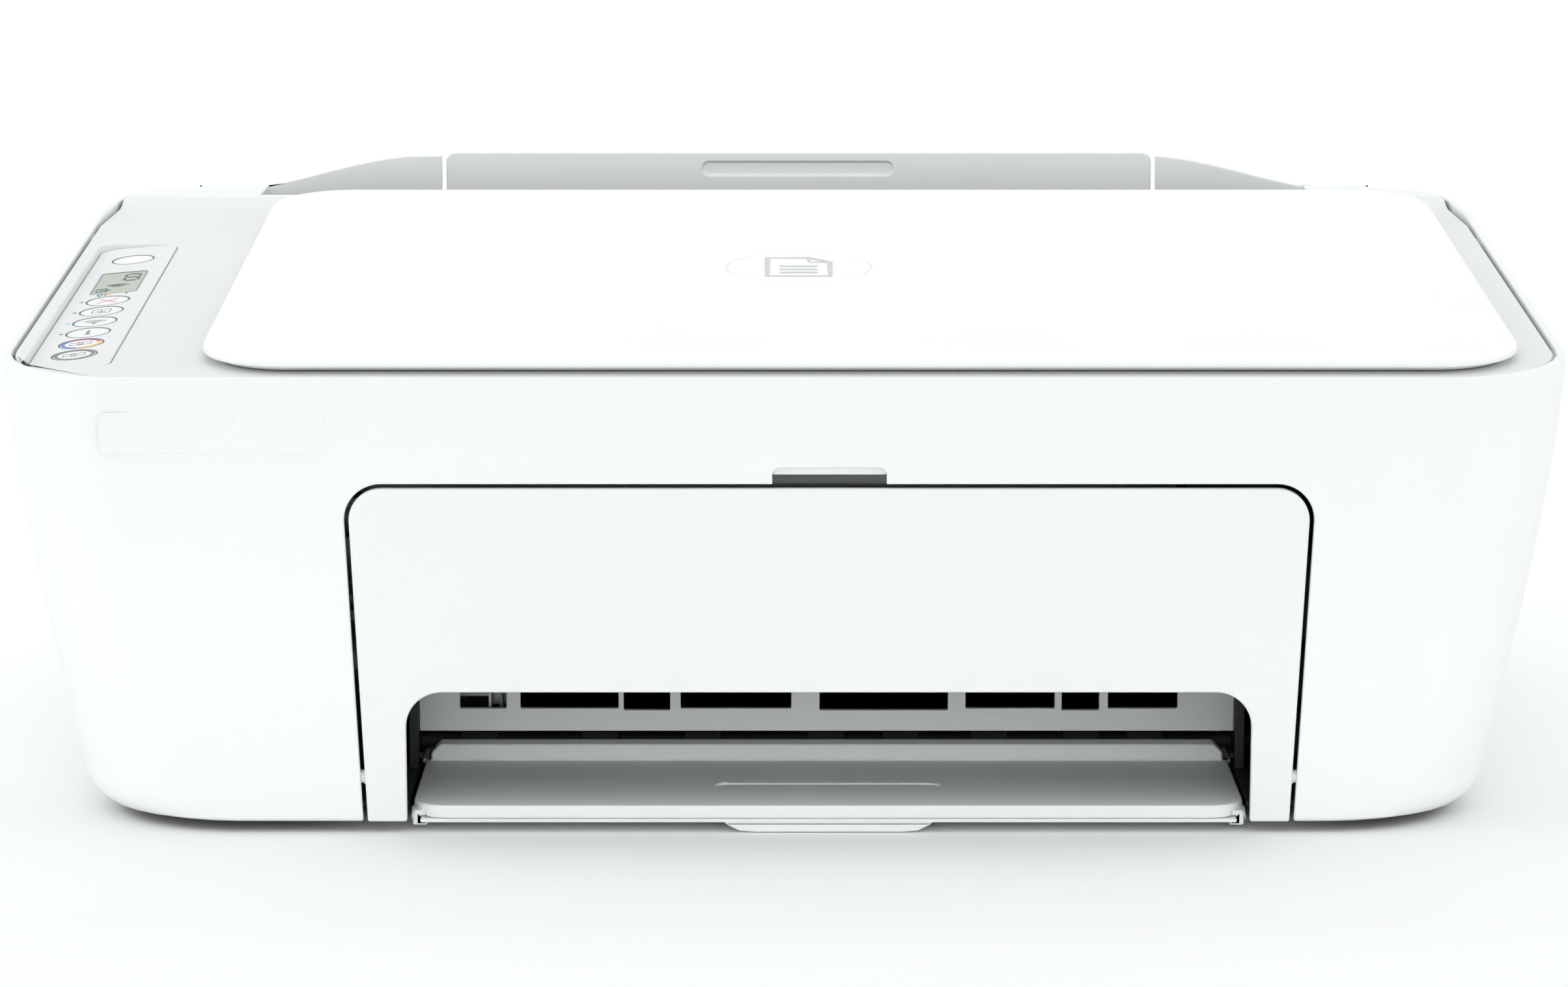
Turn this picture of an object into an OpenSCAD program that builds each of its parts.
// Compact all-in-one inkjet printer: flatbed scanner on top, ink access door and
// output tray at the front, folding paper input tray at the rear.
// Millimetres. +X is right, +Y is back, +Z is up. The origin is on the floor,
// under the centre of the body.

/* [Body] */
// Overall width of the housing at its rim
body_w = 424; // [400:1:470]
// Overall depth of the housing at its rim
body_d = 304; // [290:1:360]
// Overall height, from the floor to the top of the rear cover
body_h = 154; // [150:1:180]
// Height of the rim at the front
rim_front = 124; // [118:0.5:128]
// Slope of the top deck, rising to the rear, in degrees
deck_slope = 4.5; // [3:0.1:5]
// Height of the level rim round the rear corners
rim_rear = 142; // [138:0.5:146]
// Corner radius of the housing, seen from above
plan_r = 37; // [30:1:44]
// How far each side leans in between the rim and the floor
side_lean = 22; // [16:0.5:26]
// How far the front leans in between the rim and the floor
front_lean = 4; // [2:0.5:6]
// Radius of the rolled lower edge
bottom_roll = 7; // [4:0.5:10]
// Wall of the moulded housing
wall = 2.4; // [2:0.1:3]
// Thickness of the base tray's floor
floor_t = 1.4; // [1.2:0.1:1.8]
// Height of the rubber feet
foot_h = 3; // [3:0.5:5]
// Radius of a rubber foot
foot_r = 9; // [7:0.5:11]

/* [Scanner] */
// Width of the scanner lid
lid_w = 355; // [330:1:360]
// Depth of the scanner lid
lid_d = 240; // [232:1:244]
// Distance of the lid's centre to the right of the body's centre
lid_x = 20.5; // [14:0.5:24]
// Distance of the lid's front edge behind the front rim
lid_front = 6.4; // [5:0.2:9]
// Thickness of the lid's outer cover
lid_cover_t = 3.6; // [3:0.1:4]
// Corner radius of the lid
lid_r = 24; // [16:1:30]
// Width of the scanner glass
glass_w = 304; // [290:1:310]
// Depth of the scanner glass
glass_d = 218; // [212:1:220]
// Thickness of the scanner glass
glass_t = 2.4; // [2:0.1:3]

/* [Front door and output tray] */
// Distance of the door's centre to the right of the body's centre
door_x = 12; // [8:0.5:16]
// Width of the door at its top edge
door_w = 256; // [244:1:260]
// Height of the door's top edge above the floor
door_top = 94.4; // [88:0.5:97]
// Clearance between the door and the housing
door_gap = 1.2; // [0.8:0.1:1.6]
// Thickness of the door
door_t = 2.6; // [2:0.1:3.2]
// Width of the paper exit cut in the door
exit_w = 227; // [222:1:230]
// Height of the top of the paper exit above the floor
exit_top = 38.7; // [34:0.5:44]
// Width of the output tray
tray_w = 224.4; // [216:0.2:225]
// Thickness of the output tray's plate
tray_t = 2; // [1.6:0.1:2.4]
// Travel of the output tray
tray_travel = 58; // [40:1:60]
// Travel of the tray extender
extender_travel = 104; // [80:1:110]

/* [Paper path] */
// Radius of the rubber-coated feed roller
feed_r = 6.5; // [6:0.1:6.6]
// Radius of the output rollers
out_r = 4.4; // [4:0.1:4.4]
// Radius of the star wheels
star_r = 4; // [3.6:0.1:4.4]
// Radius of the pickup roller
pickup_r = 11; // [9:0.5:13]
// Module of the gears
gear_m = 0.8; // [0.75:0.01:0.8]
// Running clearance of a shaft in its bore
run_clear = 0.06; // [0.04:0.01:0.09]

/* [Carriage] */
// Width of the print carriage
carriage_w = 76; // [70:1:78]
// Travel of the print carriage
carriage_travel = 268; // [240:1:270]
// Radius of the carriage's guide rod
rod_r = 4; // [3.5:0.1:4.5]

/* [Control panel] */
// Radius of a round button
button_r = 5.9; // [5:0.1:6.2]
// Clearance round a button
button_gap = 0.3; // [0.25:0.05:0.4]
// Travel of a button
button_travel = 0.6; // [0.4:0.1:0.8]
// Spacing of the row of round buttons
button_pitch = 14.25; // [13.6:0.05:14.5]

/* [Input tray] */
// Width of the folding input tray
input_w = 226.6; // [220:0.2:228]
// Distance of the input tray's centre to the right of the body's centre
input_x = 4.7; // [0:0.1:8]
// Clearance on each side of the input tray
input_gap = 1.3; // [0.8:0.1:1.6]
// Travel of the input tray's extension
input_travel = 62; // [50:1:64]

/* [Hidden] */
$fn = 48;
eps = 0.01;
gap = 0.3;                       // ordinary assembly clearance
half_d = body_d / 2;
rim_break_y = -half_d + (rim_rear - rim_front) / tan(deck_slope);
function rim_z(y) = min(rim_front + (y + half_d) * tan(deck_slope), rim_rear);
function deck_plane(y) = rim_front + (y + half_d) * tan(deck_slope);
floor_top = foot_h + floor_t;

// ---- Outer form: rings of a rounded rectangle, stacked from the floor to the rim
lean_power = 1.35;
front_roll = 1;
function drop(z) = max(rim_front - z, 0) / (rim_front - foot_h);
function rolled(z, r) = z >= foot_h + r ? 0 : r - sqrt(max(r * r - pow(foot_h + r - z, 2), 0));
function side_x(z) = body_w / 2 - side_lean * pow(drop(z), lean_power);
function front_y(z) = -half_d + front_lean * drop(z);
corner_steps = 8;
function corner(cx, cy, r, from) =
    [for (i = [0 : corner_steps]) let (a = from + 90 * i / corner_steps) [cx + r * cos(a), cy + r * sin(a)]];
function ring(z, inset) =
    let (x = side_x(z) - rolled(z, bottom_roll) - inset,
         y0 = front_y(z) + rolled(z, front_roll) + inset,
         y1 = half_d - rolled(z, front_roll) - inset,
         r = plan_r - inset)
    [for (p = concat(corner(x - r, y1 - r, r, 0), corner(-x + r, y1 - r, r, 90),
                     corner(-x + r, y0 + r, r, 180), corner(x - r, y0 + r, r, 270))) [p[0], p[1], z]];
module body_form(inset, low, high) {
    roll_levels = [for (k = [0 : 3]) foot_h + bottom_roll * (0.1 + 0.3 * k)];
    levels = concat([low], [for (z = roll_levels) if (z > low + 0.2 && z < high - 0.2) z],
                    [for (k = [1 : 7]) let (z = foot_h + bottom_roll + 16 * k) if (z > low + 1 && z < high - 1) z],
                    [high]);
    n = 4 * (corner_steps + 1);
    count = len(levels);
    polyhedron(
        points = [for (z = levels) each ring(z, inset)],
        faces = concat([[for (i = [0 : n - 1]) i]],
            [for (k = [0 : count - 2]) for (i = [0 : n - 1]) let (j = (i + 1) % n)
                [k * n + i, (k + 1) * n + i, (k + 1) * n + j, k * n + j]],
            [[for (i = [n - 1 : -1 : 0]) (count - 1) * n + i]]),
        convexity = 4);
}

// ---- Helpers
module rrect(w, d, r) {
    square([w - 2 * r, d], center = true);
    square([w, d - 2 * r], center = true);
    for (x = [-1, 1], y = [-1, 1]) translate([x * (w / 2 - r), y * (d / 2 - r)]) circle(r);
}
module slab(w, d, h, r) linear_extrude(h) rrect(w, d, r);
module box(from, to) translate(from) cube([to[0] - from[0], to[1] - from[1], to[2] - from[2]]);
module rod_x(from, to, y, z, r) translate([from, y, z]) rotate([0, 90, 0]) cylinder(h = to - from, r = r);
module rod_y(from, to, x, z, r) translate([x, from, z]) rotate([-90, 0, 0]) cylinder(h = to - from, r = r);
// An outline in the side view, as [y, z] points, extruded along X
module side_form(from, to, points)
    translate([from, 0, 0]) rotate([90, 0, 90]) linear_extrude(to - from) polygon(points);
// An outline in the front view, as [x, z] points, extruded back along Y
module front_form(from, to, points)
    translate([0, to, 0]) rotate([90, 0, 0]) linear_extrude(to - from) polygon(points);
// The deck's own frame: X, distance back along the slope, height above the rim plane
module on_deck() translate([0, -half_d, rim_front]) rotate([deck_slope, 0, 0]) children();
// The front's own frame: X, depth behind the front face, height above the floor
front_tilt = atan(front_lean / (rim_front - foot_h));
module on_front() translate([0, front_y(foot_h), foot_h]) rotate([front_tilt, 0, 0]) translate([0, 0, -foot_h]) children();

// ---- Places that several pieces share
exit_x = door_x;                                  // centre of the paper path
paper_w = 216;
paper_l = exit_x - paper_w / 2;
paper_r = exit_x + paper_w / 2;
frame_t = 2.5;                                    // bulkheads that carry the rollers
frame_l = exit_x - exit_w / 2 - frame_t - 1;      // outer face of the left bulkhead
frame_r = exit_x + exit_w / 2 + frame_t + 1;
tray_z = 7.5;                                     // top of the output tray
tray_lip_z = 3.9;
ledge_z = 12.3;                                   // top of the tray's rear ledge
tray_front = front_y(tray_z);
ledge_front = tray_front + 55.6;
ledge_rear = ledge_front + 6.8;
rail_rear = -22;                                  // rear end of the tray's side rails
rail_w = 4;
tongue_z = 4.8;                                  // underside of the rails' tongues
tongue_h = 1.4;
exit_z = 13.3;                                    // paper height at the output rollers
feed_low = 6;                                     // underside of the feed roller, clear of the tray
print_z = feed_low + 2 * feed_r;                  // paper height at the platen
teeth_feed = 18;
teeth_idle = [15, 15, 14];
teeth_out = 12;
teeth_pinion = 10;
function pitch(n) = gear_m * n / 2;
gear_chain = pitch(teeth_feed) + 2 * (pitch(teeth_idle[0]) + pitch(teeth_idle[1]) + pitch(teeth_idle[2])) + pitch(teeth_out);
out_z = exit_z - out_r;
feed_y = -25;
feed_z = print_z - feed_r;
out_y = feed_y - sqrt(pow(gear_chain - 0.06, 2) - pow(feed_z - out_z, 2));   // the chain is almost straight
shaft_r = 2.5;
out_shaft_r = 2;
star_z = exit_z + gap + star_r;
pinch_r = 3;
pinch_z = print_z + gap + pinch_r;
rod_y0 = -38;
rod_z = 44;
park_x = 148;                                     // carriage centre at rest, over the service station
belt_z = 66;
belt_y = -26.5;
belt_w = 4;
belt_t = 1;
pulley_r = 6;
belt_low = belt_z - pulley_r + 0.7 - belt_t;          // underside of the belt's lower run
belt_l = -176;
belt_r = 176;
hinge_y = front_y(15) + 3.2;                      // door hinge
hinge_z = 15;
pin_r = 1.8;
lid_hinge_y = 101;
lid_hinge_z = rim_rear + 1.8;
lid_pin_r = 1.5;
lid_hinge_x = [lid_x - 110, lid_x + 110];
shelf_y = 119;
shelf_z = rim_rear + 1;
slot_l = -166;                                    // rear paper slot
slot_r = 167;
slot_front = 123.5;
rear_in = half_d - 4;                             // front face of the input tray
input_hinge_z = 72;
input_hinge_y = half_d - 2.8;
input_low = 66;
panel_x = -192.65;                                // control panel
panel_w = 22.7;
panel_s = 100.5;
panel_d = 168;
panel_tilt = 5;
panel_t = 1.5;
power_s = 165.4;
copy_s = 35.3;
lcd_s = 132.3;
lcd_w = 13.2;
lcd_d = 29.9;
module on_panel() on_deck() translate([panel_x + panel_w / 2, 0, -0.3]) rotate([0, -panel_tilt, 0])
    translate([-panel_w / 2, 0, 0]) children();
function button_s(i) = i == 0 ? power_s : copy_s + (6 - i) * button_pitch;

// ---- Body
module door_outline(grow) {
    side = 3.9 / (door_top - foot_h);             // each side widens towards the top
    low = foot_h - 1;
    half = door_w / 2 + grow;
    foot_half = half - side * (door_top - low) ;
    r = 8.7 + grow;
    top = door_top + grow;
    translate([exit_x, 0]) {
        polygon([[-foot_half, low], [foot_half, low], [half, top - r], [half - r, top - r], [half - r, top],
                 [r - half, top], [r - half, top - r], [-half, top - r]]);
        for (s = [-1, 1]) translate([s * (half - r), top - r]) circle(r);
    }
}
module exit_outline() {
    r = 9.7;
    translate([exit_x, exit_top / 2]) rrect(exit_w, exit_top, r);
    translate([exit_x - exit_w / 2, foot_h - 3]) square([exit_w, 15]);
}
module through_front(depth) on_front() translate([0, depth, 0]) rotate([90, 0, 0]) linear_extrude(depth + 12) children();
module rim_limit(lower, over) side_form(-body_w, body_w, [[-half_d - 9, -9], [half_d + 9, -9],
    [half_d + 9, rim_rear - lower], [rim_break_y, rim_rear - lower],
    [-half_d - over, rim_z(-half_d) - over * tan(deck_slope) - lower], [-half_d - 9, rim_z(-half_d) - lower - 1]]);
module housing() color([0.95, 0.96, 0.95]) {
    difference() {
        intersection() {
            body_form(0, foot_h, rim_rear + 3);
            rim_limit(0, 5);
        }
        body_form(wall, foot_h - 1, rim_rear + 4);
        through_front(12) door_outline(door_gap);
        through_front(12) translate([exit_x + 0.1, door_top + 1.3]) rrect(30.5, 9.4, 2.4);
        // Opening for the folding input tray
        box([input_x - input_w / 2 - input_gap, half_d - 9, input_low - 1],
            [input_x + input_w / 2 + input_gap, half_d + 9, rim_rear + 9]);
        hinge_bores();
        // Openings for the mains inlet and the data port
        box([inlet_x - inlet_w / 2 - gap, half_d - 9, inlet_z - inlet_h / 2 - gap],
            [inlet_x + inlet_w / 2 + gap, half_d + 9, inlet_z + inlet_h / 2 + gap]);
        box([port_x - port_w / 2 - gap, half_d - 9, port_z - port_h / 2 - gap],
            [port_x + port_w / 2 + gap, half_d + 9, port_z + port_h / 2 + gap]);
    }
    // Roof of the finger notch over the door
    difference() {
        on_front() box([exit_x - 17, wall - 0.4, door_top + 3.6], [exit_x + 17, wall + 4, door_top + 8]);
        on_front() box([exit_x - 15.2, wall - 1, door_top + 3], [exit_x + 15.2, wall + 3, door_top + 6]);
    }
    difference() {
        union() {
            // Bearings for the door's hinge pins, and for the input tray's
            for (s = [-1, 1]) {
                x = exit_x + s * (door_w / 2 + 1.6);
                box([x - 2.4, hinge_y - 1.1, hinge_z - 4.5], [x + 2.4, hinge_y + 4, hinge_z + 4.5]);
                x2 = input_x + s * (input_w / 2 + input_gap + 2.2);
                box([x2 - 2, half_d - 6, input_hinge_z - 4], [x2 + 2, half_d - wall + eps, input_hinge_z + 4]);
            }
        }
        hinge_bores();
    }
    // Lugs under the deck's edge
    on_deck() {
        for (x = [-60, 100]) box([x - 6, 1.4, -8], [x + 6, 6, -2.6]);
        for (s = [40, 196]) box([body_w / 2 - 12, s - 5, -8], [body_w / 2 - wall + 0.7, s + 5, -2.6]);
        box([-body_w / 2 + wall - 0.7, 198, -8], [-body_w / 2 + 12, 208, -2.6]);
    }
}
module hinge_bores() {
    rod_x(exit_x - door_w / 2 - 8, exit_x + door_w / 2 + 8, hinge_y, hinge_z, pin_r + run_clear);
    rod_x(input_x - input_w / 2 - 9, input_x + input_w / 2 + 9, input_hinge_y, input_hinge_z, 1 + run_clear);
}
inlet_x = 150; inlet_z = 34; inlet_w = 26; inlet_h = 18;
port_x = -150; port_z = 40; port_w = 13; port_h = 12;
foot_spots = [for (x = [-1, 1], y = [-1, 1]) [x * 148, y * 112 + 4]];
screw_spots = [[-160, 20], [-160, 128], [160, 20], [160, 128], [0, 128], [-172, -96], [172, -96]];
screw_r = 1.5;
well_r = exit_x + exit_w / 2 + 0.6;
well_l = exit_x - exit_w / 2 - 0.6;
gear_l = frame_l - 7;
module base_tray() color([0.35, 0.36, 0.37]) {
    difference() {
        body_form(wall + gap, foot_h, floor_top);
        // The tray and its extender slide in this well
        box([well_l, -half_d - 9, 0], [well_r, -12, floor_top + 9]);
        box([exit_x - door_w / 2 - 6, -half_d - 9, 0], [exit_x + door_w / 2 + 6, hinge_y + 16, floor_top + 9]);
        box([gear_l - 2, -82, 0], [frame_l - 0.5, -14, floor_top + 9]);
        for (p = screw_spots) translate([p[0], p[1], 0]) {
            cylinder(h = 20, r = screw_r + 0.2);
        }
    }
    // Bulkheads with the roller bearings
    for (x = [frame_l, frame_r - frame_t]) difference() {
        side_form(x, x + frame_t, [[-88, floor_top - eps], [30, floor_top - eps], [30, 56], [-20, 56],
                  [-20, 33], [-32, 33], [-34, 18], [-66, 18], [-68, 30], [-88, 30]]);
        rod_x(x - 9, x + 9, out_y, out_z, out_shaft_r + run_clear);
        rod_x(x - 9, x + 9, feed_y, feed_z, shaft_r + run_clear);
        rod_x(x - 9, x + 9, pickup_y, pickup_z, shaft_r + run_clear);
    }
    // Guide rails for the output tray's tongues
    for (s = [-1, 1]) {
        x = exit_x + s * (exit_w / 2 + 1.1);
        difference() {
            box([x - 1, -84, floor_top - eps], [x + 1, rail_rear, 8]);
            box([x - 3, -90, tongue_z - 0.2], [x + 3, rail_rear + 9, tongue_z + tongue_h + 0.2]);
            rod_x(x - 9, x + 9, out_y, out_z, out_shaft_r + 0.8);
        }
    }
    idler_axles();
    motor_mount();
    rail_posts();
    board_posts();
    for (p = screw_spots) translate([p[0], p[1], floor_top - eps]) difference() {
        cylinder(h = 9, r = 4);
        translate([0, 0, -1]) cylinder(h = 9, r = screw_r + 0.1);
    }
}
module rubber_feet() color([0.12, 0.12, 0.12]) for (p = foot_spots) translate([p[0], p[1], 0])
    rotate_extrude() polygon([[0, 0], [foot_r - 0.8, 0], [foot_r, 0.8], [foot_r, foot_h], [0, foot_h]]);
module case_screws() color([0.6, 0.6, 0.62]) for (p = screw_spots) translate([p[0], p[1], 0]) {
    difference() {
        translate([0, 0, foot_h - 1.6]) cylinder(h = 1.6, r = 3);
        for (a = [0, 90]) translate([0, 0, foot_h - 1.6]) rotate(a) cube([3.4, 0.7, 1.4], center = true);
    }
    translate([0, 0, foot_h - eps]) cylinder(h = 8, r = screw_r);
}

// ---- Rear cover with its two shoulders, and the top deck
shoulder_out = 180;
shoulder_in = 116;
function ease(t) = t <= 0 ? 0 : t >= 1 ? 1 : t * t * (3 - 2 * t);
function shoulder_z(x) = rim_rear + (body_h - 1 - rim_rear) * ease((shoulder_out - abs(x)) / (shoulder_out - shoulder_in));
module rear_cover() color([0.95, 0.96, 0.95]) {
    in_l = input_x - input_w / 2 - input_gap;
    in_r = input_x + input_w / 2 + input_gap;
    // Shelf with the paper slot
    difference() {
        translate([0, 0, rim_rear - 2]) linear_extrude(3) intersection() {
            rrect(body_w - 2 * wall - 2 * gap, body_d - 2 * wall - 2 * gap, plan_r - wall - gap);
            translate([-body_w, shelf_y]) square([2 * body_w, half_d]);
        }
        box([slot_l, slot_front, 0], [slot_r, rear_in - 0.8, body_h]);
        box([in_l, rear_in - 2, 0], [in_r, half_d + 9, body_h]);
    }
    // Shoulders
    for (s = [0, 1]) {
        from = s == 0 ? -shoulder_out - 8 : in_r;
        to = s == 0 ? in_l : shoulder_out + 8;
        front_form(rear_in - 0.8, half_d - wall - gap, concat([[to, rim_rear + 1 - eps], [from, rim_rear + 1 - eps]],
            [for (k = [0 : 14]) let (x = from + (to - from) * k / 14) [x, max(shoulder_z(x), rim_rear + 1.02)]]));
        front_form(half_d - wall - gap - eps, half_d, concat([[to, rim_rear + 0.1], [from, rim_rear + 0.1]],
            [for (k = [0 : 14]) let (x = from + (to - from) * k / 14) [x, max(shoulder_z(x), rim_rear + 0.6)]]));
    }
    // Throat walls under the slot
    for (x = [slot_l - 2, slot_r]) box([x, slot_front, rim_rear - 26], [x + 2, rear_in - 0.8, rim_rear - 2 + eps]);
}
deck_flat_y = 60;
deck_t = 2.2;
fillet_y = 104;
function fillet_z(k) = rim_z(deck_flat_y) - 0.3 + (shelf_z - rim_z(deck_flat_y) + 0.3) * (1 - cos(90 * k));
deck_top = concat([[-half_d + wall + 0.4, rim_z(-half_d + wall + 0.4) - 0.3], [deck_flat_y, rim_z(deck_flat_y) - 0.3]],
    [for (k = [0 : 0.2 : 1]) [fillet_y + (shelf_y - gap - fillet_y) * k, fillet_z(k)]]);
deck_under = [for (p = deck_top) [p[0], p[1] - deck_t]];
deck_edge = 1.2;
hinge_ear_t = 3;
barrel_w = 16;
module glass_seat() translate([lid_x, glass_s, -1.5 - glass_t]) slab(glass_w + 0.6, glass_d + 0.6, 9, 2.3);
module scanner_deck() color([0.86, 0.87, 0.86]) {
    difference() {
        intersection() {
            side_form(-body_w, body_w, concat(deck_top, [for (i = [len(deck_under) - 1 : -1 : 0]) deck_under[i]]));
            translate([0, 0, 90]) slab(body_w - 2 * wall - 2 * deck_edge, body_d - 2 * wall - 0.8, 60, plan_r - wall - deck_edge);
        }
        // Window over the glass
        on_deck() translate([lid_x, glass_s, -9]) slab(glass_w - 8, glass_d - 8, 18, 6);
        on_deck() glass_seat();
        // Step for the lid's pad
        on_deck() translate([lid_x, glass_s, -1.3]) slab(glass_w + 12, glass_d + 12, 9, 9);
        // Recess for the control panel, deepest at its left edge
        on_panel() translate([0, panel_s, -panel_t - 0.05]) slab(panel_w + 0.8, panel_d + 0.8, 9, 6.4);
        on_panel() translate([0, panel_s, -9]) slab(panel_w - 3, panel_d - 3, 18, 5);
    }
    // Ledge that carries the glass
    on_deck() difference() {
        translate([lid_x, glass_s, -5.6]) slab(glass_w + 8, glass_d + 8, 4.4, 5);
        glass_seat();
        translate([lid_x, glass_s, -9]) slab(glass_w - 8, glass_d - 8, 9, 3);
    }
    // Tray that carries the control panel
    on_panel() difference() {
        translate([0, panel_s, -panel_t - 2.4]) slab(panel_w + 1.6, panel_d + 1, 2.35, 6);
        translate([0, panel_s, -9]) slab(panel_w - 3, panel_d - 3, 18, 5);
    }
    // Walls of the control panel's recess
    on_panel() difference() {
        union() {
            translate([0, panel_s, -panel_t - 0.1]) slab(panel_w + 3, panel_d + 3, panel_t, 7.5);
            intersection() {
                translate([0, panel_s, -panel_t - 0.1]) slab(panel_w + 3, panel_d + 3, panel_t + 0.6, 7.5);
                translate([-panel_w, panel_s - panel_d, -9]) cube([panel_w, 2 * panel_d, 18]);
            }
        }
        translate([0, panel_s, -9]) slab(panel_w + 0.8, panel_d + 0.8, 18, 6.4);
    }
    // Ears for the lid's hinge pins
    for (x = lid_hinge_x, s = [-1, 1]) difference() {
        e = x + s * (barrel_w / 2 + hinge_ear_t / 2 + 0.3) - hinge_ear_t / 2;
        union() {
            rod_x(e, e + hinge_ear_t, lid_hinge_y, lid_hinge_z, 3);
            box([e, lid_hinge_y - 3, rim_z(deck_flat_y) - 0.4], [e + hinge_ear_t, lid_hinge_y + 3, lid_hinge_z]);
        }
        rod_x(e - 1, e + 9, lid_hinge_y, lid_hinge_z, lid_pin_r);
    }
}
glass_s = lid_front + 8 + (glass_d + 12) / 2 + 2;
module scanner_glass() color([0.75, 0.85, 0.85, 0.4]) on_deck()
    translate([lid_x, glass_s, -1.3 - 0.2 - glass_t]) slab(glass_w, glass_d, glass_t, 2);
pan_low = -21;
module scanner_pan() color([0.2, 0.21, 0.22]) on_deck() {
    difference() {
        translate([lid_x, glass_s, pan_low]) slab(glass_w + 4, glass_d + 4, -5.7 - pan_low, 4);
        translate([lid_x, glass_s, pan_low + 1.6]) slab(glass_w - 0.4, glass_d - 0.4, 40, 3);
    }
    for (x = [lid_x - glass_w / 2 - 0.3, lid_x + glass_w / 2 - 3.7])
        translate([x, glass_s - 4, pan_low + 1]) cube([4, 8, 6.5]);
}
scan_w = 17;
scan_z = -14.5;
scan_travel = glass_w - scan_w - 24;
module scan_rail() color([0.75, 0.76, 0.78]) on_deck()
    rod_x(lid_x - glass_w / 2 + 3.7, lid_x + glass_w / 2 - 3.7, glass_s, scan_z, 2.5);
module scan_bar() color([0.1, 0.1, 0.1]) on_deck() {
    x = lid_x - glass_w / 2 + 12;
    difference() {
        union() {
            translate([x, glass_s - glass_d / 2 + 6, -12]) cube([scan_w, glass_d - 12, 6]);
            translate([x, glass_s - 8, scan_z - 3.6]) cube([scan_w, 16, 6]);
        }
        rod_x(x - 9, x + scan_w + 9, glass_s, scan_z, 2.5 + run_clear);
    }
    color([0.8, 0.9, 0.85]) translate([x + scan_w / 2 - 3, glass_s - glass_d / 2 + 8, -6 - eps]) cube([6, glass_d - 16, 0.5]);
}

// ---- Scanner lid
lid_top = 5;
module lid_plate(inset, from, to) on_deck()
    translate([lid_x, lid_front + lid_d / 2, from]) slab(lid_w - 2 * inset, lid_d - 2 * inset, to - from, lid_r - inset);
module lid_cover() color([0.97, 0.98, 0.97]) {
    lid_plate(0, lid_top - lid_cover_t, lid_top - 1.6);
    lid_plate(0.5, lid_top - 1.6 - eps, lid_top - 0.7);
    lid_plate(1.4, lid_top - 0.7 - eps, lid_top);
}
module lid_base() color([0.9, 0.91, 0.9]) {
    lid_plate(3.5, 0.2, lid_top - lid_cover_t);
    for (x = lid_hinge_x) difference() {
        union() {
            rod_x(x - barrel_w / 2, x + barrel_w / 2, lid_hinge_y, lid_hinge_z, 3);
            side_form(x - barrel_w / 2, x + barrel_w / 2, [
                [lid_hinge_y, lid_hinge_z - 1.2], [lid_hinge_y, lid_hinge_z + 3], [lid_hinge_y - 5.5, lid_hinge_z + 2.4],
                [lid_hinge_y - 6.4, deck_plane(lid_hinge_y - 6.4) + 1.3], [lid_hinge_y - 11.5, deck_plane(lid_hinge_y - 11.5) + 1.3],
                [lid_hinge_y - 11.5, deck_plane(lid_hinge_y - 11.5) + 0.3]]);
        }
        rod_x(x - 20, x + 20, lid_hinge_y, lid_hinge_z, lid_pin_r + run_clear);
    }
}
module lid_pad() color([0.98, 0.98, 0.98]) on_deck()
    translate([lid_x, glass_s, -1.0]) slab(glass_w + 4, glass_d + 2, 1.19, 5);
module lid_hinge_pins() color([0.7, 0.7, 0.72]) for (x = lid_hinge_x)
    rod_x(x - barrel_w / 2 - hinge_ear_t - 0.6, x + barrel_w / 2 + hinge_ear_t + 0.6, lid_hinge_y, lid_hinge_z, lid_pin_r);

// ---- Control panel
module panel_plate() color([0.9, 0.91, 0.9]) on_panel() difference() {
    translate([0, panel_s, -panel_t]) slab(panel_w, panel_d, panel_t, 6);
    for (i = [0 : 6]) translate([0, button_s(i), -9]) cylinder(h = 18, r = button_r + button_gap);
    translate([0, lcd_s, -9]) slab(lcd_w + 0.4, lcd_d + 0.4, 18, 1.5);
}
module button(i) color([0.93, 0.94, 0.93]) on_panel() translate([0, button_s(i), 0]) {
    translate([0, 0, -panel_t - 0.6]) cylinder(h = panel_t + 0.6, r = button_r);
    translate([0, 0, -panel_t - 1.6]) cylinder(h = 1.2, r = button_r + 1.2);
    translate([0, 0, -panel_t - 2.6]) cylinder(h = 1.2, r = 1.5);
}
module lcd_window() color([0.7, 0.74, 0.68]) on_panel() translate([0, lcd_s, -1.6 - eps]) slab(lcd_w, lcd_d, 1.5, 1.4);
module lcd_module() {
    color([0.3, 0.33, 0.3]) on_panel() translate([0, lcd_s, -4.4]) slab(lcd_w + 2, lcd_d + 2, 2.8, 1);
    lcd_window();
}
module panel_board() color([0.1, 0.35, 0.2]) on_panel() {
    translate([0, panel_s, -6.6]) slab(panel_w - 4, panel_d - 6, 1.6, 1);
    for (i = [0 : 6]) translate([0, button_s(i), -5.01]) cylinder(h = 0.25, r = 2);
    translate([0, lcd_s, -5.01]) slab(lcd_w - 3, lcd_d - 3, 0.6, 0.5);
}
module power_button() button(0);
module cancel_button() button(1);
module resume_button() button(2);
module wireless_button() button(3);
module info_button() button(4);
module colour_copy_button() button(5);
module black_copy_button() button(6);

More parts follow.
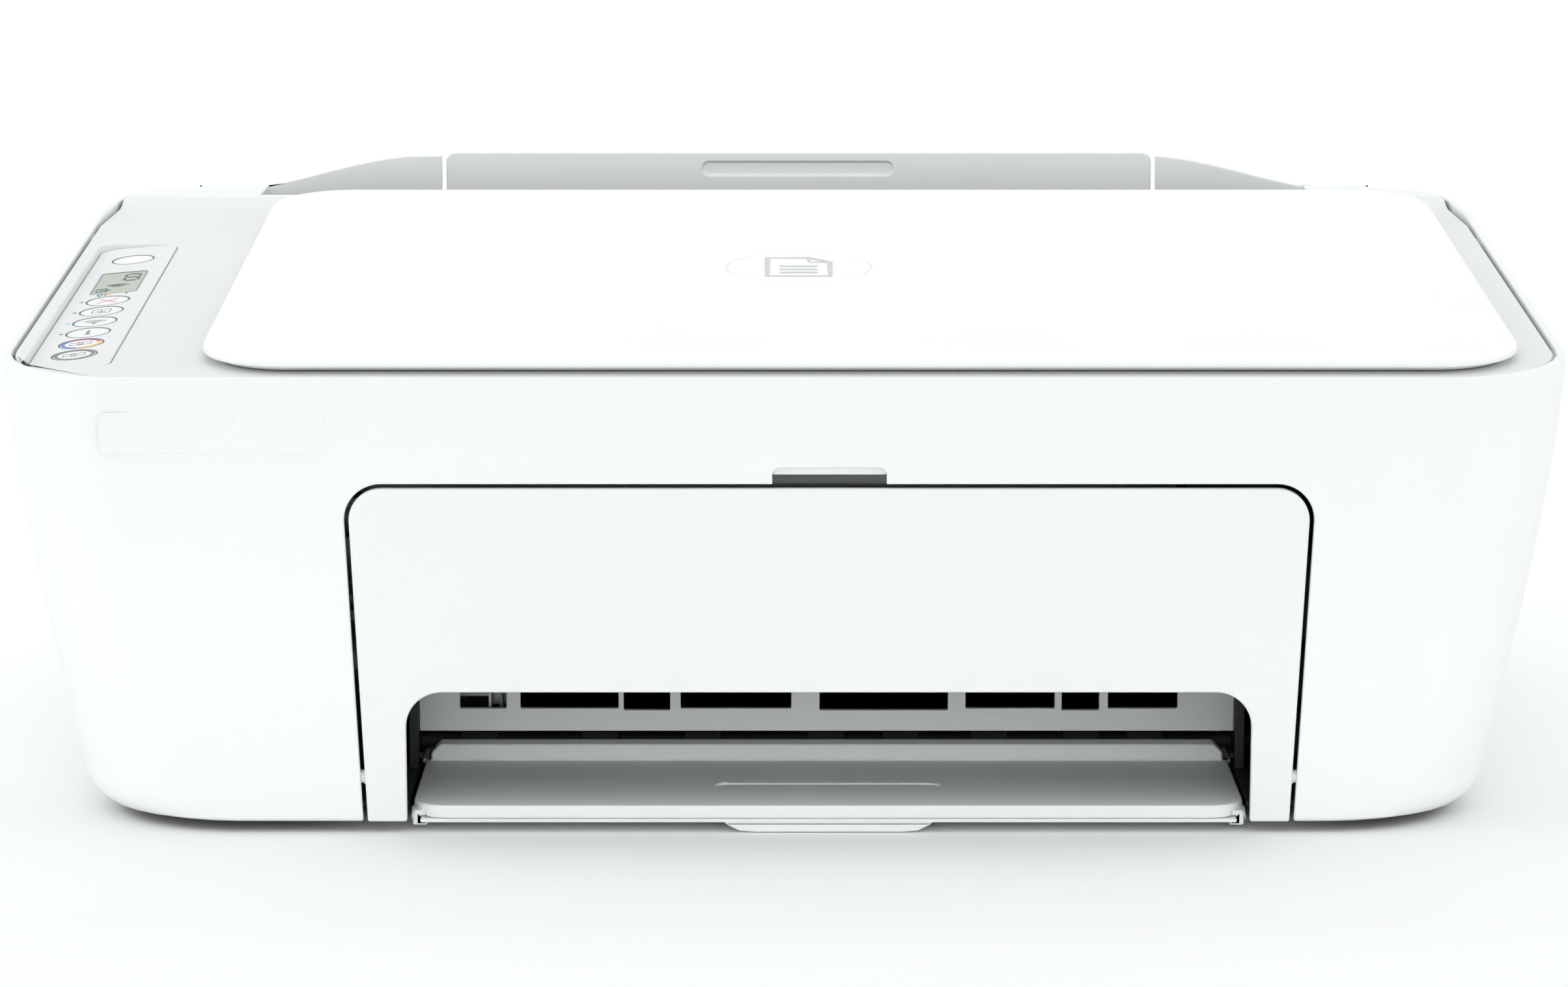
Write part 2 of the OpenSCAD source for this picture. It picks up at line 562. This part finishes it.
// ---- Front door
module front_door() color([0.93, 0.95, 0.94]) {
    intersection() {
        on_front() translate([-body_w, 0, -9]) cube([2 * body_w, door_t, body_h]);
        difference() {
            through_front(12) difference() {
                door_outline(0);
                exit_outline();
            }
            translate([0, 0, -9]) cube([2 * body_w, body_d * 2, 2 * (9 + foot_h)], center = true);
        }
    }
    // Hinge pins on short arms
    for (s = [-1, 1]) {
        x = exit_x + s * (door_w / 2 - 4.6);
        box([x - 1.6, hinge_y - 1.4, hinge_z - 1.8], [x + 1.6, hinge_y + 1.8, hinge_z + 1.8]);
        rod_x(min(x, x + s * 7), max(x, x + s * 7), hinge_y, hinge_z, pin_r);
    }
    // Stiffening lip along the inside of the top edge
    on_front() box([exit_x - 100, door_t - 0.2, door_top - 6], [exit_x + 100, door_t + 3, door_top - 4.4]);
}

// ---- Output tray and its extender
tray_l = exit_x - tray_w / 2;
tray_r = exit_x + tray_w / 2;
module output_tray() color([0.82, 0.84, 0.82]) {
    difference() {
        union() {
            // Plate with rounded front corners
            intersection() {
                translate([exit_x, tray_front + 60, tray_z - tray_t]) slab(tray_w, 120, tray_t, 10);
                box([tray_l - 1, tray_front - 1, 0], [tray_r + 1, ledge_front + 2, 20]);
            }
            // Front lip
            intersection() {
                translate([exit_x, tray_front + 60, tray_lip_z]) slab(tray_w, 120, tray_z - tray_lip_z - eps, 10);
                box([tray_l - 1, tray_front - 1, 0], [tray_r + 1, tray_front + 2.2, 20]);
            }
        }
        // Long finger groove
        translate([exit_x, tray_front + 24.5, tray_z - 0.8]) slab(62, 8.5, 3, 4.2);
    }
    // Riser and rear ledge
    translate([exit_x, 0, tray_z - tray_t]) difference() {
        front_form(ledge_front, ledge_rear, [[-tray_w / 2 + 1.5, 0], [tray_w / 2 - 1.5, 0],
            [tray_w / 2 - 1.5, ledge_z - tray_z + tray_t - 2.5], [tray_w / 2 - 4, ledge_z - tray_z + tray_t],
            [-tray_w / 2 + 4, ledge_z - tray_z + tray_t], [-tray_w / 2 + 1.5, ledge_z - tray_z + tray_t - 2.5]]);
        box([-tray_w, ledge_front + 2, -1], [tray_w, ledge_rear + 1, ledge_z - tray_z]);
    }
    // Side rails: a channel for the extender inside, a tongue for the base's groove outside
    for (s = [-1, 1]) difference() {
        union() {
            x = exit_x + s * (tray_w / 2 - rail_w / 2);
            box([x - rail_w / 2, tray_front + 3, 1.4], [x + rail_w / 2, rail_rear, tray_z - tray_t + eps]);
            x2 = exit_x + s * (tray_w / 2 - 0.5);
            box([x2 - 0.5, ledge_rear - 4, tongue_z], [x2 + 0.5, rail_rear, tongue_z + tongue_h]);
            box([min(x2, x2 + s * 2.1), ledge_rear + 2, tongue_z], [max(x2, x2 + s * 2.1), rail_rear, tongue_z + tongue_h]);
        }
        translate([exit_x, 0, 0]) box([-tray_w / 2 + 1.9, tray_front, 2.55], [tray_w / 2 - 1.9, rail_rear + 9, 3.95]);
    }
}
ext_t = 1.1;
ext_w = tray_w - 2 * 2.2;
module tray_extender() color([0.8, 0.82, 0.8]) {
    difference() {
        translate([exit_x, 0, 0]) box([-ext_w / 2, tray_front + 0.5, 2.7], [ext_w / 2, rail_rear - 3, 2.7 + ext_t]);
        for (k = [-1, 1]) translate([exit_x + k * 62, tray_front + 62, 0]) slab(70, 60, 9, 8);
    }
    // Finger tab under the front edge
    front_form(tray_front, tray_front + 10, [[exit_x - 27.7, 2.72], [exit_x - 27.4, 2.2], [exit_x - 24, 0.5],
        [exit_x - 20, 0.2], [exit_x + 20, 0.2], [exit_x + 24, 0.5], [exit_x + 27.4, 2.2], [exit_x + 27.7, 2.72]]);
}

// ---- Paper exit: castellated cover, star wheels, rollers
exit_cover_y = out_y - 13;
notch = [[-91, -78, 6.5], [-74, -46.5, 6.5], [-45, -32, 6], [-29, 2, 6.5], [10, 46, 6],
         [51, 76, 6.5], [78, 88.5, 6], [91, 110.5, 6.5]];
module exit_cover() color([0.84, 0.86, 0.84]) {
    difference() {
        box([frame_l + frame_t + 0.1, exit_cover_y, exit_z + 1.1], [frame_r - frame_t - 0.1, exit_cover_y + 2, 36]);
        for (n = notch) box([n[0], exit_cover_y - 1, exit_z + 1.1 + n[2]], [n[1], exit_cover_y + 9, 37]);
    }
    // Ribs behind the posts, up to the top rail
    box([frame_l + frame_t + 0.1, exit_cover_y, 33], [frame_r - frame_t - 0.1, exit_cover_y + 9, 36]);
    for (n = notch) box([n[1] + 0.1, exit_cover_y + 1, exit_z + 2.5], [n[1] + 1.3, exit_cover_y + 7, 34]);
}
star_x = [-78.4, -71.5, -26.9, -19.7, 54.4, 61.4, 98.2, 105.4];
star_axle_r = 0.8;
module star_wheel_bar() color([0.55, 0.57, 0.56]) difference() {
    union() {
        box([frame_l + frame_t + 0.1, out_y - 3, 26], [frame_r - frame_t - 0.1, out_y + 6, 29]);
        for (x = star_x, s = [-1, 1]) box([x + s * 1.6 - 0.5, out_y - 2, star_z - 1.6], [x + s * 1.6 + 0.5, out_y + 2, 26 + eps]);
    }
    rod_x(-200, 200, out_y, star_z, star_axle_r + run_clear);
}
module star_wheels() color([0.1, 0.1, 0.1]) {
    for (x = star_x) translate([x - 0.4, out_y, star_z]) rotate([0, 90, 0]) linear_extrude(0.8)
        polygon([for (i = [0 : 31]) let (r = i % 2 == 0 ? star_r : star_r - 0.7) [r * cos(i * 11.25), r * sin(i * 11.25)]]);
    for (k = [0, 2, 4, 6]) rod_x(star_x[k] - 2.6, star_x[k + 1] + 2.6, out_y, star_z, star_axle_r);
}
module platen() color([0.15, 0.15, 0.16]) {
    difference() {
        union() {
            side_form(frame_l + frame_t + 0.2, frame_r - frame_t - 0.2,
                [[-65, 10.5], [-65, 12.8], [-61, print_z - 0.8], [-35, print_z - 0.8], [-35, 12], [-60, 10.5]]);
            for (k = [0 : 10]) box([paper_l + 4 + k * 20.2, -60, print_z - 1], [paper_l + 5.4 + k * 20.2, -36, print_z]);
        }
        box([paper_l - 4, -57, 11], [paper_r + 4, -40, 14]);
    }
}
roller_spots = [-86, -52, -23, 12, 33, 58, 84, 102];
module output_roller() {
    color([0.6, 0.6, 0.62]) rod_x(gear_l, frame_r + 3, out_y, out_z, out_shaft_r);
    color([0.08, 0.08, 0.08]) for (x = roller_spots) difference() {
        rod_x(x - 5, x + 5, out_y, out_z, out_r);
        rod_x(x - 6, x + 6, out_y, out_z, out_shaft_r);
    }
}
module feed_roller() {
    color([0.6, 0.6, 0.62]) rod_x(gear_l, frame_r + 3, feed_y, feed_z, shaft_r);
    color([0.3, 0.3, 0.32]) difference() {
        rod_x(paper_l, paper_r, feed_y, feed_z, feed_r);
        rod_x(paper_l - 1, paper_r + 1, feed_y, feed_z, shaft_r);
    }
}
pinch_x = [for (k = [0 : 3]) exit_x - 78 + 52 * k];
module pinch_rollers() color([0.2, 0.2, 0.21]) {
    for (x = pinch_x) rod_x(x - 11, x + 11, feed_y, pinch_z, pinch_r);
    rod_x(pinch_x[0] - 14, pinch_x[3] + 14, feed_y, pinch_z, 1.2);
}

// ---- Gear train from the feed roller to the output roller
gear_t = 3;
function dist2(a, b) = norm([b[0] - a[0], b[1] - a[1]]);
function toward(p, r, a) = [p[0] + r * cos(a), p[1] + r * sin(a)];
function angle_to(a, b) = atan2(b[1] - a[1], b[0] - a[0]);
// Where two circles about a and b cross, on the upper side
function meet(a, ra, b, rb) = let (d = dist2(a, b), k = (ra * ra - rb * rb + d * d) / (2 * d), h = sqrt(ra * ra - k * k),
    t = angle_to(a, b)) toward(toward(a, k, t), h, t - 90);
// Phase of a gear of nb teeth that meshes, at angle t, with one of na teeth whose phase is pa
function mesh(pa, na, t, nb) = t + 180 - (0.5 - (t - pa) * na / 360) * 360 / nb;
g_feed = [feed_y, feed_z];
g_out = [out_y, out_z];
g_i1 = toward(g_feed, pitch(teeth_feed) + pitch(teeth_idle[0]), angle_to(g_feed, g_out));
g_i3 = toward(g_out, pitch(teeth_out) + pitch(teeth_idle[2]), angle_to(g_out, g_feed));
g_i2 = meet(g_i1, pitch(teeth_idle[0]) + pitch(teeth_idle[1]), g_i3, pitch(teeth_idle[1]) + pitch(teeth_idle[2]));
g_pin = toward(g_feed, pitch(teeth_feed) + pitch(teeth_pinion), 62);
p_feed = 0;
p_i1 = mesh(p_feed, teeth_feed, angle_to(g_feed, g_i1), teeth_idle[0]);
p_i2 = mesh(p_i1, teeth_idle[0], angle_to(g_i1, g_i2), teeth_idle[1]);
p_i3 = mesh(p_i2, teeth_idle[1], angle_to(g_i2, g_i3), teeth_idle[2]);
p_out = mesh(p_i3, teeth_idle[2], angle_to(g_i3, g_out), teeth_out);
p_pin = mesh(p_feed, teeth_feed, angle_to(g_feed, g_pin), teeth_pinion);
function tooth_points(n) = let (rp = pitch(n), ra = rp + 0.8 * gear_m, rf = rp - 1.15 * gear_m, w = 360 / n)
    [for (i = [0 : n - 1]) each [for (q = [[rf, -0.36], [rp, -0.215], [ra, -0.09], [ra, 0.09], [rp, 0.215], [rf, 0.36]])
        [q[0] * cos((i + q[1]) * w), q[0] * sin((i + q[1]) * w)]]];
module gear(at, n, phase, bore) translate([gear_l + 1, at[0], at[1]]) rotate([90, 0, 90]) difference() {
    linear_extrude(gear_t) rotate(phase) polygon(tooth_points(n));
    if (bore > 0) translate([0, 0, -1]) cylinder(h = gear_t + 2, r = bore);
}
module output_gear() color([0.9, 0.9, 0.86]) gear(g_out, teeth_out, p_out, out_shaft_r);
module feed_gear() color([0.9, 0.9, 0.86]) gear(g_feed, teeth_feed, p_feed, shaft_r);
idler_axle = 1.6;
module idler(at, i, phase) color([0.9, 0.9, 0.86]) gear(at, teeth_idle[i], phase, idler_axle + run_clear);
module idler_gear_1() idler(g_i1, 0, p_i1);
module idler_gear_2() idler(g_i2, 1, p_i2);
module idler_gear_3() idler(g_i3, 2, p_i3);
module idler_axles() for (g = [g_i1, g_i2, g_i3]) rod_x(gear_l + 0.4, frame_l + eps, g[0], g[1], idler_axle);
module motor_pinion() color([0.8, 0.7, 0.4]) {
    gear(g_pin, teeth_pinion, p_pin, 0);
    rod_x(gear_l + 3, frame_l - 0.6, g_pin[0], g_pin[1], 1);
}
module feed_motor() color([0.45, 0.46, 0.48]) {
    rod_x(gear_l - 22, gear_l - 1, g_pin[0] + 0, g_pin[1] + 0, 11.5);
    translate([gear_l - 1.2, g_pin[0], g_pin[1]]) rotate([0, 90, 0]) cylinder(h = 1.2, r = 4);
}
module motor_mount() difference() {
    box([gear_l - 24, g_pin[0] - 14, floor_top - eps], [gear_l - 2, g_pin[0] + 14, g_pin[1] - 5]);
    rod_x(gear_l - 40, gear_l + 9, g_pin[0], g_pin[1], 11.52);
}

// ---- Paper input
pickup_y = 12;
pickup_z = 39.5;
module pickup_roller() {
    color([0.75, 0.75, 0.73]) rod_x(frame_l - 3, frame_r + 3, pickup_y, pickup_z, shaft_r);
    color([0.1, 0.1, 0.1]) difference() {
        rod_x(exit_x - 14, exit_x + 14, pickup_y, pickup_z, pickup_r);
        rod_x(exit_x - 15, exit_x + 15, pickup_y, pickup_z, shaft_r);
    }
}
ramp_t = 2;
ramp_top = [134, rim_rear - 8];
ramp_mid = [36, 40];
module paper_ramp() color([0.25, 0.26, 0.27]) {
    side_form(paper_l - 6, paper_r + 6, [ramp_top, [ramp_top[0] + 0.7 * ramp_t, ramp_top[1] - 0.7 * ramp_t], [ramp_mid[0] + 0.7 * ramp_t, ramp_mid[1] - 0.8 * ramp_t],
        [13, 24], [-12, 15], [-12, 17], [12, 26], ramp_mid]);
    for (x = [paper_l - 6, paper_r + 4]) side_form(x, x + 2, [[118, floor_top + eps], [130, floor_top + eps], ramp_top, [120, 119]]);
}
guide_x = paper_r + 3;
guide_travel = 90;
ramp_a = atan2(ramp_top[1] - ramp_mid[1], ramp_top[0] - ramp_mid[0]);
module width_guide() color([0.3, 0.5, 0.45])
    translate([guide_x, ramp_mid[0], ramp_mid[1]]) rotate([ramp_a, 0, 0]) {
        translate([0, 70, 0.4]) cube([1.8, 55, 11]);
        translate([-10, 88, 0.4]) cube([12, 22, 1.4]);
    }
module input_tray() color([0.95, 0.96, 0.95]) {
    top = body_h;
    difference() {
        front_form(rear_in, half_d - 1.6, [for (p = concat(
            [[-input_w / 2, input_low], [input_w / 2, input_low]],
            [for (a = [0 : 15 : 90]) [input_w / 2 - 3 + 3 * cos(a), top - 3 + 3 * sin(a)]],
            [for (a = [90 : 15 : 180]) [-input_w / 2 + 3 + 3 * cos(a), top - 3 + 3 * sin(a)]])) [input_x + p[0], p[1]]]);
        // Finger recess
        translate([input_x - 0.3, rear_in + 1, body_h - 5.25]) rotate([90, 0, 0]) slab(61.2, 4.3, 9, 2.1);
        // Guide slots for the extension's two tongues
        for (s = [-1, 1]) box([input_x + s * 90 - 2.2, rear_in + 1.1, input_low + 12], [input_x + s * 90 + 2.2, half_d, top - 8]);
    }
    // Hinge pins in the rear cover's lower bearings
    for (s = [-1, 1]) {
        x = input_x + s * (input_w / 2 - 1);
        rod_x(min(x, x + s * 5), max(x, x + s * 5), input_hinge_y, input_hinge_z, 1);
    }
}
module input_extension() color([0.9, 0.91, 0.9]) {
    translate([input_x, half_d, input_low + 12]) translate([0, 0, (body_h - input_low - 12 - 0.6) / 2]) rotate([90, 0, 0])
        slab(200, body_h - input_low - 12 - 0.6, 1.35, 8);
    for (s = [-1, 1]) box([input_x + s * 90 - 1.9, rear_in + 1.4, input_low + 12.3], [input_x + s * 90 + 1.9, half_d - 1.3, input_low + 16]);
}

// ---- Print carriage
module carriage_rod() color([0.75, 0.76, 0.78]) rod_x(-178, 186, rod_y0, rod_z, rod_r);
module carriage_rail() color([0.6, 0.62, 0.63]) {
    rail_plate();
    idler_post();
}
module rail_plate() difference() {
    union() {
        box([-186, -22, 34], [190, -20.6, 86]);
        box([-186, -32, 84.6], [190, -20.6, 86]);
        for (x = [-186, 187]) side_form(x, x + 1.6, [[-44, rod_z - 8], [-20.6, 34], [-20.6, 86], [-32, 86], [-44, rod_z + 8]]);
    }
    rod_x(-300, 300, rod_y0, rod_z, rod_r);
    rod_y(-40, 0, belt_l, belt_z, 3.8);
}
module idler_post() rod_y(belt_y - belt_w / 2 - 1.6, -21.9, belt_r, belt_z, 1.5);
module rail_posts() for (x = [-150, 186 - 12]) side_form(x, x + 4, [[-20.2, floor_top - eps], [-8, floor_top - eps], [-14, 60], [-20.2, 60]]);
nose_w = 60;
module carriage() color([0.13, 0.13, 0.14]) {
    carriage_box();
    belt_clamp();
}
module carriage_box() difference() {
    union() {
        translate([park_x - carriage_w / 2, 0, 0]) side_form(0, carriage_w, [[-46, 37.5], [-99, 37.5], [-104, 46], [-104, 72], [-100, 74],
            [-46, 94], [-33.6, 94], [-33.6, 70], [-31.6, 70], [-31.6, 37.5]]);
        translate([park_x - nose_w / 2, 0, 0]) side_form(0, nose_w, [[-60, print_z + 1.2], [-40, print_z + 1.2], [-40, 38], [-60, 38]]);
    }
    // Two cartridge bays, open to the front and top
    for (k = [-1, 1]) {
        x = bay_x(k);
        translate([x - bay_w / 2, 0, 0]) side_form(0, bay_w, [[-56, 40], [-101, 40], [-112, 46], [-112, 100], [-48, 100], [-48, 40]]);
        box([x - 9, -57, print_z], [x + 9, -46, 44]);
    }
    rod_x(park_x - 90, park_x + 90, rod_y0, rod_z, rod_r + run_clear);
    for (k = [-1, 1]) rod_x(bay_x(k) - bay_w / 2 - 1.2, bay_x(k) + bay_w / 2 + 1.2, latch_y, latch_z, latch_pin_r + run_clear);
}
module belt_clamp() for (z = [[belt_low - 2.2, belt_low - 0.3], [belt_low + belt_t + 0.3, belt_low + belt_t + 2.2]])
    box([park_x - 6, -33, z[0]], [park_x + 6, -24.4, z[1]]);
bay_w = 34.5;
function bay_x(k) = park_x + k * (carriage_w / 4 - 0.25);
cart_w = 33.6;
module cartridge(k) {
    x = bay_x(k);
    difference() {
        union() {
            translate([x - cart_w / 2, 0, 0]) side_form(0, cart_w, [[-56, 40.4], [-94, 40.4], [-97, 44], [-97, 66], [-94, 68], [-52, 82], [-48.5, 82], [-48.5, 40.4]]);
            box([x - 8.6, -56.6, print_z + 0.9], [x + 8.6, -46.4, 41]);
        }
        for (i = [0 : 3]) box([x - 12, -98, 50 + 3.4 * i], [x + 12, -96.4, 51.4 + 3.4 * i]);
    }
}
module black_cartridge() color([0.08, 0.08, 0.08]) cartridge(1);
module colour_cartridge() color([0.16, 0.16, 0.17]) cartridge(-1);
latch_y = -55;
latch_z = 86;
latch_pin_r = 1.2;
module latch(k) color([0.3, 0.31, 0.32]) {
    side = bay_w / 2 - 1.5;
    translate([bay_x(k) - side, 0, 0]) side_form(0, 2 * side, [[-99, 71.6], [-96, 71.6], [latch_y, 85], [latch_y, 87], [-97, 74], [-99, 74]]);
    rod_x(bay_x(k) - bay_w / 2 - 0.9, bay_x(k) + bay_w / 2 + 0.9, latch_y, latch_z, latch_pin_r);
}
module black_latch() latch(1);
module colour_latch() latch(-1);
module carriage_motor() color([0.45, 0.46, 0.48]) {
    rod_y(-20.4, 4, belt_l, belt_z, 12);
    rod_y(-21.9, -20.4 + eps, belt_l, belt_z, 3.4);
}
module drive_pulley() color([0.85, 0.8, 0.5]) pulley(belt_l);
module idler_pulley() color([0.85, 0.86, 0.84]) difference() {
    pulley(belt_r);
    rod_y(-40, 0, belt_r, belt_z, 1.5 + run_clear);
}
module pulley(x) {
    rod_y(belt_y - belt_w / 2 - 0.3, belt_y + belt_w / 2 + 0.3, x, belt_z, pulley_r - 1);
    rod_y(belt_y - belt_w / 2 - 1.1, belt_y - belt_w / 2 - 0.3 + eps, x, belt_z, pulley_r + 0.6);
    rod_y(belt_y + belt_w / 2 + 0.3 - eps, belt_y + belt_w / 2 + 1.1, x, belt_z, pulley_r + 0.6);
}
module carriage_belt() color([0.1, 0.1, 0.1])
    translate([(belt_l + belt_r) / 2, belt_y + belt_w / 2, belt_z]) rotate([90, 0, 0]) linear_extrude(belt_w) difference() {
        rrect(belt_r - belt_l + 2 * (pulley_r - 0.7 + belt_t), 2 * (pulley_r - 0.7 + belt_t), pulley_r - 0.7 + belt_t - eps);
        rrect(belt_r - belt_l + 2 * (pulley_r - 0.7), 2 * (pulley_r - 0.7), pulley_r - 0.7 - eps);
    }
module service_station() {
    color([0.3, 0.31, 0.32]) difference() {
        box([frame_r + 3.4, -70, floor_top + 0.02], [frame_r + 46, -30, 14]);
        box([frame_r + 5.4, -68, 8], [frame_r + 44, -32, 15]);
    }
    color([0.1, 0.1, 0.1]) for (k = [-1, 1]) {
        x = bay_x(k);
        box([max(x - 7, frame_r + 5.6), -60, 8 - eps], [min(x + 7, frame_r + 43), -42, 17.5]);
    }
}

// ---- Electronics
module main_board() {
    color([0.1, 0.35, 0.2]) box([-180, 30, 14], [-112, 138, 15.6]);
    color([0.1, 0.1, 0.1]) for (p = [[-160, 60, 22], [-130, 62, 14], [-150, 96, 12], [-126, 100, 10]])
        translate([p[0] - p[2] / 2, p[1] - p[2] / 2, 15.6 - eps]) cube([p[2], p[2], 1.6]);
    color([0.7, 0.7, 0.72]) difference() {
        box([port_x - port_w / 2, 132, port_z - port_h / 2], [port_x + port_w / 2, half_d - 1, port_z + port_h / 2]);
        box([port_x - port_w / 2 + 2, 140, port_z - port_h / 2 + 2], [port_x + port_w / 2 - 2, half_d, port_z + port_h / 2 - 2]);
    }
    color([0.1, 0.35, 0.2]) box([port_x - 9, 134, 15.6 - eps], [port_x + 9, 137, port_z - port_h / 2 + eps]);
}
module board_posts() for (x = [-176, -116], y = [34, 130]) translate([x, y, floor_top - eps]) cylinder(h = 14 - floor_top, r = 2.5);
module power_supply() {
    power_case();
    mains_inlet();
}
module power_case() color([0.14, 0.14, 0.15]) difference() {
    box([136, 44, floor_top + 0.02], [178, 122, 46]);
    for (i = [0 : 9]) box([142 + 3.2 * i, 43, 20], [143.6 + 3.2 * i, 45.2, 40]);
}
module mains_inlet() {
    color([0.08, 0.08, 0.08]) difference() {
        box([inlet_x - inlet_w / 2, 122 - eps, inlet_z - inlet_h / 2], [inlet_x + inlet_w / 2, half_d - 0.6, inlet_z + inlet_h / 2]);
        translate([inlet_x, half_d + 5, inlet_z]) rotate([90, 0, 0]) slab(18, 9.4, 18, 4.6);
    }
    color([0.8, 0.8, 0.82]) for (s = [-1, 1]) rod_y(half_d - 14, half_d - 3.4, inlet_x + 4.1 * s, inlet_z, 1.2);
}

housing();
base_tray();
rubber_feet();
case_screws();
rear_cover();
scanner_deck();
scanner_glass();
scanner_pan();
scan_rail();
scan_bar();
lid_hinge_pins();
lid_cover();
lid_base();
lid_pad();
panel_plate();
lcd_module();
panel_board();
power_button();
cancel_button();
resume_button();
wireless_button();
info_button();
colour_copy_button();
black_copy_button();
front_door();
output_tray();
tray_extender();
exit_cover();
star_wheel_bar();
star_wheels();
platen();
output_roller();
output_gear();
feed_roller();
feed_gear();
idler_gear_1();
idler_gear_2();
idler_gear_3();
feed_motor();
motor_pinion();
pinch_rollers();
paper_ramp();
pickup_roller();
width_guide();
input_tray();
input_extension();
carriage_rod();
carriage_rail();
carriage();
black_cartridge();
colour_cartridge();
black_latch();
colour_latch();
carriage_motor();
drive_pulley();
idler_pulley();
carriage_belt();
service_station();
main_board();
power_supply();
